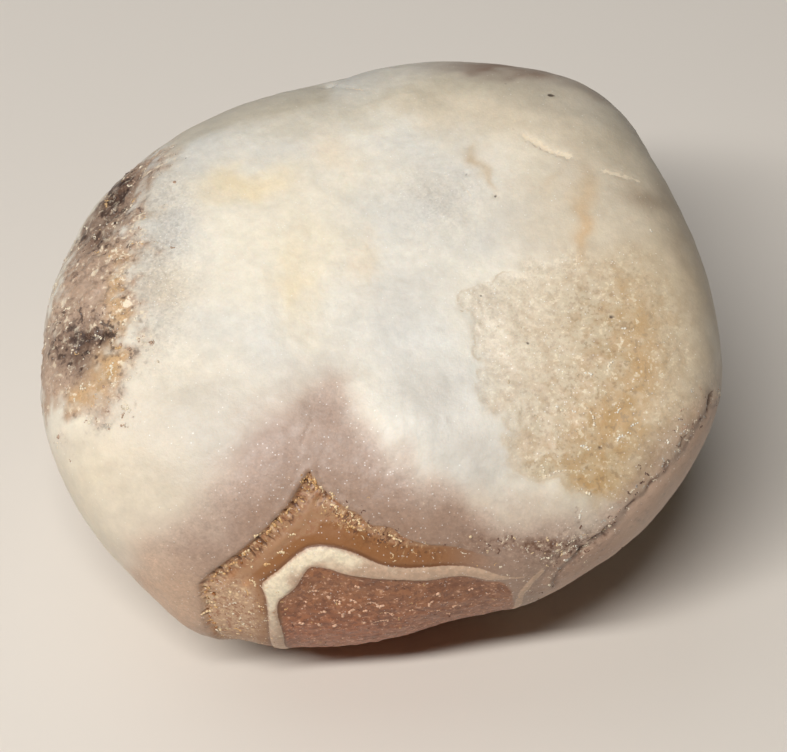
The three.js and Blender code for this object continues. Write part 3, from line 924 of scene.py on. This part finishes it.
class StonePaint(Paint):
    """The stone's material, with the grain that all its kinds of stone share. Each kind's paint
    takes the colour under it and returns the colour with it on."""

    def __init__(self):
        super().__init__("jasper_skin")
        self.fine = self.noise(0.35, 3)
        self.middling = self.noise(1.1, 3, 4.0)
        self.large = self.noise(3.5, 3, 8.0)
        self.speck = self.grains((0.55, 0.26), (15.0, 19.0), 0.6)
        self.cloud = self.sum((self.middling, 0.6), (self.large, 0.4))
        self.wobble = self.sum((self.fine, 0.35), (self.middling, 0.5), -0.425)
        self.glint_near, self.glint_tone, self.glint_kind = self.cells(GLINT_SIZE)

    def grains(self, sizes, seeds, share):
        """Grainy noise of two sizes; the share is the first one's."""
        coarse, fine = (self.noise(size, 2, seed) for size, seed in zip(sizes, seeds))
        return self.sum((coarse, share), (fine, 1 - share))

    def over(self, base, top, strength, depth, start, end, wobbling):
        """The base with the top colour on it, from the depths start to end."""
        return self.lay(base, top, self.sum(depth, (self.wobble, wobbling)), start, end, strength)

    def rind(self):
        """The waxy rind, mottled, and sugary in places."""
        colour = self.scaled(self.stored("rind"), self.ramp(self.large, 0.25, 0.75, 0.955, 1.045))
        colour = self.scaled(colour, self.ramp(self.middling, 0.2, 0.8, 0.95, 1.05))
        speckle = self.sum((self.speck, 0.8), (self.glint_tone, 0.2), -0.5)
        contrast = self.ramp("sugar", 0, 1, 0.15, 1.05)
        return self.scaled(colour, self.sum(self.product(speckle, contrast), 1.0))

    def crust(self, colour):
        """Pale crumbs, painted shade between them where the crust is gritty, and in its hollows."""
        grit = self.product("grit", self.ramp(self.cloud, 0.42, 0.56, 0.35, 1.0))
        # Painted shade in the crust's hollows.
        hollow = self.sum(("crust_dark", 0.9), (self.cloud, 4.5), (self.speck, 2.4), -3.45)
        shadow = self.product(self.ramp(hollow, 0.5, 1.15), "grit")
        colour = self.mix(colour, CRUST_DARK, self.maths("MINIMUM", shadow, 0.8))
        grains = self.grains((0.95, 0.35), (41.0, 43.0), 0.6)
        # Painted shade in the gaps between the crumbs.
        gap = self.product(self.ramp(grains, 0.49, 0.38), self.sum(("crust_dark", 0.5), 0.4), grit)
        colour = self.mix(colour, CRUST_DARK, self.maths("MINIMUM", gap, 0.85))
        pale = self.sum(("crust_dark", -0.35), 0.7)
        colour = self.mix(colour, CRUST_CREAM, self.product(self.ramp(grains, 0.53, 0.62), pale, grit))
        # Painted shade where the crust's surface lies deeper.
        depth = self.sum("crust_depth", (self.fine, -0.4), 0.2)
        return self.mix(colour, CRUST_DARK, self.product(self.ramp(depth, 0.45, 1.0), grit, 0.8))

    def tan_patch(self, colour):
        """Granular tan stone with pale flecks, amber in places."""
        grains = self.grains((0.75, 0.3), (27.0, 29.0), 0.55)
        tan = self.lay(TAN_DEEP, TAN_PALE, self.cloud, 0.42, 0.58)
        warm = self.product("amber", self.ramp(self.middling, 0.3, 0.7, 0.95, 0.5))
        tan = self.mix(tan, AMBER, self.maths("MINIMUM", warm, 0.95))
        tan = self.lay(tan, TAN_DARK, grains, 0.48, 0.38, 0.7)
        tan = self.lay(tan, TAN_LIGHT, grains, 0.55, 0.64, 0.75)
        tan = self.mix(tan, CRUST_CREAM, self.product("worms", 0.35))
        depth = self.sum("tan_patch", (self.wobble, 1.2), (grains, 1.2), -0.6)
        inside = self.ramp(depth, self.product("tan_blur", -0.8), "tan_blur")
        colour = self.mix(colour, tan, self.product(inside, "tan_strength"))
        crisp = self.product(self.ramp("tan_blur", 2.0, 1.2), self.ramp(self.cloud, 0.42, 0.58))
        return self.mix(colour, TAN_DEEP, self.product(self.line(depth, 0.1, 0.35, 0.35), crisp))

    def hollow(self, colour):
        """The opened hollow: a comb of quartz teeth under its lip, painted shade between them,
        a rib, gravel, and a slope dark caramel beside the vein, partly from painted shade."""
        down = self.vector(self.product("along", 2.4), "opened", 0.0)
        fibre = self.sum((self.noise(0.8, 3, 33.0, down), 0.7), (self.fine, 0.3))
        slope = self.lay(COMB_TAN, CORE_BROWN, self.speck, 0.52, 0.42, 0.6)
        slope = self.over(slope, CARAMEL, 1.0, "slope", 0.2, 0.8, 1.0)
        # Painted shade in a thin line along the vein's proud edge.
        slope = self.lay(slope, CARAMEL_DARK, "vein", -0.5, -0.04, 0.75)
        slope = self.mix(slope, COMB_TAN, self.product("rib", 0.7))
        jumble = self.maths("MAXIMUM", "comb", "jumble")
        for tone, low, high, strength in ((COMB_DARK, 0.49, 0.40, 0.8), (GOLD_PALE, 0.56, 0.64, 0.6)):
            fibres = self.product(self.ramp(fibre, low, high, 0, strength), jumble)
            slope = self.mix(slope, tone, fibres)
        # Painted shade in the sunken gaps between the comb's teeth.
        slope = self.lay(slope, COMB_DARK, "gaps", 0.2, 0.8, 0.85)
        gravel = self.lay(GRAVEL_TAN, CORE_BROWN, self.speck, 0.48, 0.40, 0.8)
        gravel = self.lay(gravel, GOLD_PALE, self.speck, 0.54, 0.62, 0.7)
        slope = self.lay(slope, gravel, "gravel", 0.2, 0.8)
        slope = self.mix(slope, GRAVEL_ORANGE, self.product("orange", 0.7))
        inside = self.ramp(self.sum("opened", (self.wobble, 0.5)), -0.12, 0.12)
        return self.mix(colour, slope, self.maths("SUBTRACT", inside, "shut"))

    def core(self, colour):
        """Granular red-brown jasper."""
        core = self.mix(CORE_BROWN, CORE_RED, "core_low")
        core = self.lay(core, CORE_DARK, self.cloud, 0.48, 0.60, 0.5)
        core = self.lay(core, CORE_DARK, self.speck, 0.49, 0.41, 0.6)
        core = self.lay(core, CORE_ROSE, self.speck, 0.56, 0.63, 0.65)
        return self.over(colour, core, 1.0, "core", -0.1, 0.25, 0.4)

    def bevel(self, colour):
        """The broken bevel along the rim, the groove along its upper edge, and specks beside it."""
        down = self.vector("ridge_gap", self.product(self.large, 8.0), 0.0)
        streak = self.noise(1.4, 4, 51.0, down)
        streak = self.sum((streak, 0.4), (self.speck, 0.25), (self.cloud, 0.35))
        bevel = self.lay(BEVEL_ROSE, BEVEL_DARK, streak, 0.50, 0.36, 0.55)
        bevel = self.lay(bevel, TAN_LIGHT, streak, 0.52, 0.64, 0.5)
        colour = self.over(colour, bevel, 0.8, "bevel", -2.4, 1.4, 3.0)
        broken = self.ramp(self.cloud, 0.40, 0.54, 0.35, 1.0)
        groove = self.line(self.sum("bevel", (self.wobble, 1.2)), 0.15, 0.6, 0.65)
        colour = self.mix(colour, BEVEL_DARK, self.product(groove, broken, "near_ridge"))
        for tone, low, high, most in ((COMB_DARK, 0.50, 0.40, 0.8), (CRUST_CREAM, 0.55, 0.63, 0.7)):
            specks = self.product("speckled", self.ramp(self.speck, low, high))
            colour = self.mix(colour, tone, self.maths("MINIMUM", specks, most))
        return colour

    def vein(self, colour):
        """The quartz vein, cream where it is thick and tan where it is thin."""
        depth = self.sum("vein", (self.fine, 0.16), -0.08)
        pale = self.sum("vein_pale", (self.cloud, 0.8), -0.4)
        cream = self.lay(VEIN_TAN, VEIN_CREAM, pale, 0.15, 0.75)
        cream = self.over(VEIN_TAN, cream, 1.0, depth, 0.0, 0.35, 0.6)
        cream = self.scaled(cream, self.ramp(self.speck, 0.40, 0.60, 0.88, 1.07))
        return self.lay(colour, cream, depth, -0.05, 0.06)

    def marks(self, colour):
        """Cracks and pinholes."""
        broken = self.sum((self.speck, 1.2), -0.6)
        quartz = self.sum("crack_quartz", (broken, 1.5))
        colour = self.lay(colour, CRUST_CREAM, quartz, 0.25, 0.6, 0.95)
        colour = self.lay(colour, CRACK_BROWN, self.sum("crack_open", broken), 0.25, 0.75, 0.8)
        return self.lay(colour, PIT_DARK, "pinhole", -0.08, 0.08, 0.85)


def stone_material():
    """A waxy rind, and the kinds of stone that its marks part off."""
    paint = StonePaint()
    colour = paint.rind()
    kinds = (
        paint.crust, paint.tan_patch, paint.hollow, paint.core, paint.bevel, paint.vein, paint.marks,
    )
    for kind in kinds:
        colour = kind(colour)
    rare = paint.ramp("sugar", 0, 1, 0.992, 0.91)
    chosen = paint.maths("GREATER_THAN", paint.glint_kind, rare)
    glints = paint.product(chosen, paint.ramp(paint.glint_near, 0.45, 0.15))
    colour = paint.mix(colour, GLINT, paint.product(glints, 0.6))
    roughness = paint.sum(paint.ramp(paint.middling, 0.3, 0.7, 0.42, 0.54), (glints, -0.2))
    paint.quartz(colour, roughness, 0.22, (1.0, 0.7, 0.5), 1.2)
    coarse = paint.product(paint.sum(paint.speck, -0.5), paint.sum(("grit", 1.6), 0.5))
    paint.bump(paint.sum((paint.fine, 0.3), (paint.noise(0.15, 2, 12.0), 0.2), coarse), 0.06)
    return paint.material


def crystal_material():
    """Clear brown quartz."""
    paint = Paint("brown_quartz")
    tone = paint.sum((paint.noise(0.5, 2), 0.5), ("tone", 0.5))
    colour = paint.lay(CARAMEL, GOLD, tone, 0.32, 0.68)
    colour = paint.lay(colour, GOLD_PALE, tone, 0.66, 0.85)
    paint.quartz(colour, 0.25, 0.3, (1.0, 0.6, 0.3), 0.6)
    return paint.material


def grain_material():
    """Small grains of quartz and stone grown into the surface."""
    paint = Paint("grains")
    colour = paint.scaled(paint.stored("grain"), paint.ramp(paint.noise(0.2), 0.3, 0.7, 0.88, 1.12))
    paint.quartz(colour, 0.32, 0.2, (1.0, 0.7, 0.5), 0.5)
    return paint.material


stone.data.materials.append(stone_material())

# ---- Crystals along the ledge ----

skin_tree = BVHTree.FromObject(stone, bpy.context.evaluated_depsgraph_get())
SEED = 11
random = np.random.default_rng(SEED)
middle_metres = Vector(MIDDLE * METRES)


def on_skin(direction):
    """The skin's point and normal along a direction from the middle, in mm."""
    hit, normal, _, _ = skin_tree.ray_cast(middle_metres, Vector(direction))
    return np.array(hit) / METRES, np.array(normal)


# A crystal's sides, how flat it is across, where its point starts, as radii from its tip, how
# much it tapers to there, and how far its tip may be off its axis, in radii.
SIDES = 6
FLATTENED = 0.75
POINTED = 0.9
TAPER = 0.92
OFF_AXIS = 0.3


def crystal(base, axis, radius, length):
    """Points and triangles of a six-sided prism with a pointed end."""
    side = unit(np.cross(axis, random.normal(size=3)))
    other = np.cross(axis, side)
    turns = np.arange(SIDES) * 2 * math.pi / SIDES
    ring = np.cos(turns)[:, None] * side + FLATTENED * np.sin(turns)[:, None] * other
    shoulder = base + ring * radius * TAPER + axis * (length - POINTED * radius)
    tip = base + axis * length + OFF_AXIS * radius * side * random.uniform(-1, 1)
    faces = [(0, i + 1, i) for i in range(1, SIDES - 1)]
    for i in range(SIDES):
        j = (i + 1) % SIDES
        faces += [(i, j, SIDES + j), (i, SIDES + j, SIDES + i), (SIDES + i, SIDES + j, 2 * SIDES)]
    return np.vstack([base + ring * radius, shoulder, tip]), np.array(faces)


def joined(name, parts):
    """One mesh object of several parts, and how many points each has."""
    counts = [len(points) for points, _ in parts]
    starts = np.cumsum([0] + counts[:-1])
    faces = np.vstack([faces + start for (_, faces), start in zip(parts, starts)])
    return mesh_object(name, np.vstack([points for points, _ in parts]), faces), counts


def ledge_crystals():
    """Teeth of the comb along the ledge's left arm, and a jumble of crystals along its right."""
    edge = Line(LEDGE_EDGE)
    lengths = np.concatenate([[0], np.cumsum(np.linalg.norm(np.diff(edge.points, axis=0), axis=1))])
    peak_at = edge.distance(unit(place(LEDGE_PEAK))[None])[1][0]
    parts, tones = [], []

    def at(length):
        return np.array([np.interp(length, lengths, edge.points[:, axis]) for axis in range(3)])

    def add(length, inset, radius, long, lift, jumble, tone):
        """A crystal at a length along the edge and an inset from it, lifted off the skin by an
        angle, and turned at random as its jumble says."""
        here, ahead = at(length), at(length + 0.3)
        inward = unit(np.cross(unit(ahead - here), here))
        point, normal = on_skin(unit(unit(here) + (inset / SPHERE) * inward))
        axis = inward * math.cos(lift) + normal * math.sin(lift)
        axis = unit(axis + jumble * random.normal(size=3))
        parts.append(crystal(point - 0.4 * long * axis - 0.12 * normal, axis, radius, long))
        tones.append(tone)

    length = 1.5
    while length < peak_at:
        add(length, random.uniform(0.2, 1.0), random.uniform(0.10, 0.20), random.uniform(0.5, 1.0),
            random.uniform(0.1, 0.4), 0.25, random.uniform(0.0, 0.9))
        length += random.uniform(0.25, 0.7)
    while length < lengths[-1] - 0.4:
        size = 1.0 - 0.6 * (length - peak_at) / (lengths[-1] - peak_at)
        for _ in range(3):
            add(length + random.uniform(-0.3, 0.3), 0.4 + abs(random.normal(0.4, 0.8)),
                0.15 * size, random.uniform(0.3, 0.7) * size, random.uniform(0.0, 0.4), 0.5,
                random.uniform(0.3, 1))
        length += random.uniform(0.4, 0.7)
    made, counts = joined("ledge_crystals", parts)
    give(made, "tone", np.repeat(tones, counts))
    made.data.materials.append(crystal_material())
    return made


# ---- Grains and chips grown into the surface ----

def lump(point, size):
    """Points and triangles of an uneven grain."""
    solid = bmesh.new()
    bmesh.ops.create_icosphere(solid, subdivisions=1, radius=1)
    corners = np.array([vertex.co[:] for vertex in solid.verts])
    faces = np.array([[vertex.index for vertex in face.verts] for face in solid.faces])
    solid.free()
    stretch = random.uniform(0.6, 1.25, size=3)
    turn, _ = np.linalg.qr(random.normal(size=(3, 3)))
    if np.linalg.det(turn) < 0:
        turn = -turn
    corners = corners * random.uniform(0.78, 1.15, size=(len(corners), 1)) * stretch
    return point + corners @ turn.T * size, faces


def trail(middle, turn, bend, long, count):
    """Directions along a curved line over the stone, long mm from end to end. turn is clockwise
    as the eye sees it; bend is how far the line turns along its length. Both are in degrees."""
    across = unit(RIGHT - (RIGHT @ middle) * middle)
    upward = np.cross(middle, across)
    heading = np.radians(turn + bend * np.linspace(-0.5, 0.5, count))
    x = np.cumsum(np.cos(heading)) * long / SPHERE / count
    y = np.cumsum(-np.sin(heading)) * long / SPHERE / count
    return unit(middle + (x - x.mean())[:, None] * across + (y - y.mean())[:, None] * upward)


# The chips are raised grains, and their pale rose is painted highlight on edges that catch the light.
# Chips of the core: photo pixel, clockwise turn and bend in degrees, and length in mm.
CHIPS = [
    ((378, 622), -18, 90, 2.1), ((371, 604), 10, 120, 1.8), ((388, 615), 35, 60, 1.3),
    ((358, 617), 60, 90, 0.9), ((336, 602), 20, 140, 1.1), ((313, 590), -5, 60, 1.1),
    ((349, 612), -60, 80, 1.0), ((333, 626), -80, 60, 0.7), ((320, 612), -40, 60, 0.9),
    ((327, 597), 30, 80, 0.7), ((429, 605), -75, 60, 1.0), ((456, 607), -30, 120, 1.0),
    ((438, 596), 50, 60, 0.7), ((356, 586), -30, 60, 0.6), ((365, 612), -20, 60, 0.9),
    ((396, 600), -20, 60, 0.7), ((305, 600), 70, 80, 0.6), ((340, 616), 30, 120, 0.9),
    ((300, 622), 0, 90, 0.6), ((316, 624), 20, 80, 0.7), ((470, 590), -60, 60, 0.6),
    ((410, 612), -70, 60, 0.6), ((352, 601), 15, 90, 0.8), ((487, 594), -30, 60, 0.6),
    ((380, 608), -50, 60, 0.7), ((362, 624), 10, 60, 0.6), ((447, 614), 20, 80, 0.7),
]
# Curved flecks of quartz along the ledge, listed the same way.
FLECKS = [
    ((315, 483), 78, 30, 1.6), ((322, 488), 60, 60, 0.9), ((331, 495), 50, 90, 0.8),
    ((334, 505), 20, 120, 1.0), ((339, 514), -20, 120, 1.0), ((345, 520), 10, 100, 1.0),
    ((350, 514), 40, 90, 0.9), ((356, 520), 20, 120, 1.1), ((361, 526), 10, 80, 0.9),
    ((350, 526), -10, 90, 0.9), ((391, 536), 25, 60, 0.8), ((398, 539), 10, 60, 0.7),
    ((303, 479), -60, 60, 0.9), ((297, 499), -50, 90, 1.0), ((287, 510), -70, 60, 0.8),
    ((275, 520), -40, 90, 1.0), ((268, 530), -70, 60, 0.9), ((256, 534), -50, 80, 0.8),
    ((244, 551), -60, 100, 1.1), ((233, 561), -40, 80, 0.9), ((221, 566), -20, 90, 1.0),
    ((216, 572), -60, 80, 0.8), ((211, 600), 10, 110, 1.1), ((206, 592), 50, 90, 0.9),
    ((211, 620), 20, 90, 1.1), ((217, 627), 40, 90, 1.0), ((205, 610), -30, 80, 0.8),
    ((291, 534), -30, 80, 0.9), ((266, 563), -35, 60, 0.8), ((280, 551), -20, 80, 0.8),
    ((252, 582), 30, 120, 1.1), ((246, 592), 60, 90, 0.8), ((236, 628), 10, 80, 0.8),
]
# Pale flecks of the tan patch and the ridge, listed the same way.
PALE_FLECKS = [
    ((594, 420), 85, 40, 1.4), ((609, 437), 0, 30, 0.5), ((619, 412), -60, 30, 0.6),
    ((635, 426), -30, 40, 0.8), ((631, 435), 0, 30, 0.4), ((621, 440), -50, 60, 0.8),
    ((586, 449), 20, 90, 0.9), ((589, 496), 30, 60, 0.7), ((612, 366), -60, 60, 1.0),
    ((625, 330), 0, 0, 0.3), ((619, 304), 0, 0, 0.3), ((691, 433), 20, 30, 0.6),
    ((670, 444), 60, 30, 0.4), ((611, 511), -30, 30, 0.6), ((626, 501), -60, 30, 0.4),
    ((581, 516), -75, 30, 1.1), ((653, 232), 60, 20, 0.4), ((548, 477), -10, 30, 0.6),
    ((557, 473), -20, 30, 0.6), ((543, 470), 80, 40, 0.9), ((565, 412), -20, 60, 0.5),
    ((575, 413), 0, 30, 0.3), ((558, 408), 0, 20, 0.3), ((571, 545), -30, 60, 0.9),
    ((577, 550), 60, 60, 0.6), ((565, 561), 20, 60, 0.6), ((545, 560), -5, 60, 0.9),
    ((561, 548), 50, 60, 0.8), ((606, 533), 90, 90, 0.5), ((590, 375), 10, 60, 0.6),
]

# Where the grains lie: a weight for each vertex.
in_hollow = smooth(opened, 0.3, 0.8) * (1 - smooth(vein, -0.3, 0.0)) * front * (1 - in_core)
on_core = in_core * (1 - smooth(vein, -0.3, 0.0))
crust_fringe = in_crust * grit * (0.4 + np.clip(crust_amber, 0, 1))
crust_pits = in_crust * grit * np.clip(crust_dark, 0, 1)
crust_rag = crust_halo * (1 - in_crust) * front
tan_grains = in_tan * (0.3 + np.clip(amber, 0, 1))
# Kinds of grain: where they lie, how many, widths and the greatest length in mm, and colours.
GRAINS = [
    (speckled, 70, (0.16, 0.34), 0.7, (CRUST_CREAM, GOLD_PALE, CRACK_BROWN)),
    (crust_fringe, 380, (0.16, 0.42), 0.9, (CRUST_CREAM, CRUST_AMBER, CRUST_ROSE, CRUST_CREAM)),
    (crust_rag, 150, (0.16, 0.36), 0.8, (CRUST_CREAM, CREAM, CRUST_FRINGE, CRUST_ROSE)),
    (crust_pits, 160, (0.18, 0.36), 0.8, (CRUST_CREAM, CRUST_BROWN, CRUST_ROSE, CRUST_DARK)),
    (tan_grains, 200, (0.12, 0.24), 0.6, (TAN_PALE, CRUST_CREAM, TAN_PALE)),
    (on_core, 150, (0.12, 0.24), 0.6, (CORE_ROSE, CORE_ROSE, GOLD, CORE_DARK)),
    (gravel * smooth(opened, 0, 0.4), 120, (0.16, 0.34), 0.6, (GRAVEL_TAN, CRUST_CREAM, GOLD_PALE)),
    (on_ridge * front, 150, (0.14, 0.32), 0.6, (GREY, BEVEL_ROSE, CRUST_BROWN, CRUST_CREAM)),
    (in_hollow * smooth(u, 330, 420), 30, (0.12, 0.26), 0.5, (GOLD, CARAMEL_DARK, CRUST_CREAM)),
    (right_arm, 60, (0.12, 0.24), 0.8, (GOLD_PALE, GOLD, COMB_DARK)),
    (in_hollow * left_arm, 24, (0.12, 0.24), 0.6, (GOLD, GOLD_PALE, COMB_TAN)),
]
# Grains placed one by one: their lines, width in mm and colours.
PLACED = [
    (CHIPS, 0.46, (CORE_ROSE,)),
    (FLECKS, 0.38, (GOLD_PALE, GOLD)),
    (PALE_FLECKS, 0.34, (CRUST_CREAM, WHITE)),
]


def surface_grains():
    """Grains, and chains of them, along curved lines."""
    parts, colours = [], []

    def add(middle, turn, bend, long, width, palette):
        colour = palette[random.integers(len(palette))]
        for direction in trail(middle, turn, bend, long, max(1, round(1.7 * long / width))):
            size = 0.5 * width * random.uniform(0.7, 1.2)
            sunk = on_skin(direction)[0] - direction * size * random.uniform(0.2, 0.6)
            if sunk[2] > 1.2 * size:
                parts.append(lump(sunk, size))
                colours.append(colour)

    corners = points[triangles]
    sides = np.cross(corners[:, 1] - corners[:, 0], corners[:, 2] - corners[:, 0])
    sizes = np.repeat(np.linalg.norm(sides, axis=1), 3)
    area = np.bincount(triangles.ravel(), sizes, len(directions))
    for weight, count, widths, longest, palette in GRAINS:
        chance = weight * area
        for index in random.choice(len(chance), count, p=chance / chance.sum()):
            width, long = random.uniform(*widths), random.uniform(0, longest)
            turn, bend = random.uniform(0, 360), random.uniform(40, 160)
            add(directions[index], turn, bend, long, width, palette)
    for placed, width, palette in PLACED:
        for pixel, turn, bend, long in placed:
            add(place(pixel), turn, bend, long, width, palette)
    made, counts = joined("surface_grains", parts)
    give(made, "grain", np.repeat(np.array(colours), counts, axis=0))
    made.data.materials.append(grain_material())
    return made


for piece in (stone, ledge_crystals(), surface_grains()):
    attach(piece, "root")
    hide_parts("stone")

# ---- Floor, lights and camera ----

FLOOR_SIZE = 4
FLOOR_COLOUR = linear(224, 217, 208)
FLOOR_ROUGHNESS = 0.75
SENSOR_WIDTH = 36
NEAREST_SEEN = 0.01
SKY_COLOUR = (0.92, 0.95, 1.0, 1)
SKY_STRENGTH = 0.015
# Soft lights: name, place, width and depth in metres, power in watts, and colour.
LIGHTS = [
    ("key", (-0.17, -0.27, 0.54), 0.44, 0.05, 3.7, (1.0, 0.98, 0.95)),
    ("overhead", (-0.3, 0.25, 0.82), 0.8, 0.8, 1.6, (0.97, 0.98, 1.0)),
]


def floor():
    """A plain pale floor under the stone."""
    bpy.ops.mesh.primitive_plane_add(size=FLOOR_SIZE)
    made = bpy.context.object
    made.name = "floor"
    paint = Paint("floor")
    paint.settle(Base_Color=FLOOR_COLOUR, Roughness=FLOOR_ROUGHNESS)
    made.data.materials.append(paint.material)


def light(name, place, wide, deep, power, colour):
    """A soft light that looks at the stone, with its wide side along X."""
    lamp = bpy.data.lights.new(name, "AREA")
    lamp.shape = "RECTANGLE"
    lamp.size, lamp.size_y = wide, deep
    lamp.energy = power
    lamp.color = colour
    made = bpy.data.objects.new(name, lamp)
    back = (Vector(place) - middle_metres).normalized()
    side = Vector((0, 1, 0)).cross(back).normalized()
    made.matrix_world = Matrix((side, back.cross(side), back)).transposed().to_4x4()
    made.location = place
    bpy.context.collection.objects.link(made)


def camera():
    """The eye, with the photo's frame around the stone."""
    data = bpy.data.cameras.new("camera")
    data.sensor_width = SENSOR_WIDTH
    data.lens = SENSOR_WIDTH * EYE_DISTANCE / (PIXEL * PHOTO_WIDTH)
    data.clip_start = NEAREST_SEEN
    aside = (PHOTO_WIDTH / 2 - MIDDLE_PIXEL[0]) * PIXEL
    lower = (PHOTO_HEIGHT / 2 - MIDDLE_PIXEL[1]) * PIXEL
    made = bpy.data.objects.new("camera", data)
    made.location = EYE * METRES
    aim = MIDDLE + aside * RIGHT - lower * UP
    made.rotation_euler = Vector(aim - EYE).to_track_quat("-Z", "Y").to_euler()
    bpy.context.collection.objects.link(made)
    bpy.context.scene.camera = made


floor()
for lamp in LIGHTS:
    light(*lamp)
camera()

world = bpy.data.worlds.new("studio")
world.use_nodes = True
sky = world.node_tree.nodes["Background"].inputs
sky["Color"].default_value = SKY_COLOUR
sky["Strength"].default_value = SKY_STRENGTH
bpy.context.scene.world = world
bpy.context.scene.view_settings.view_transform = "Standard"
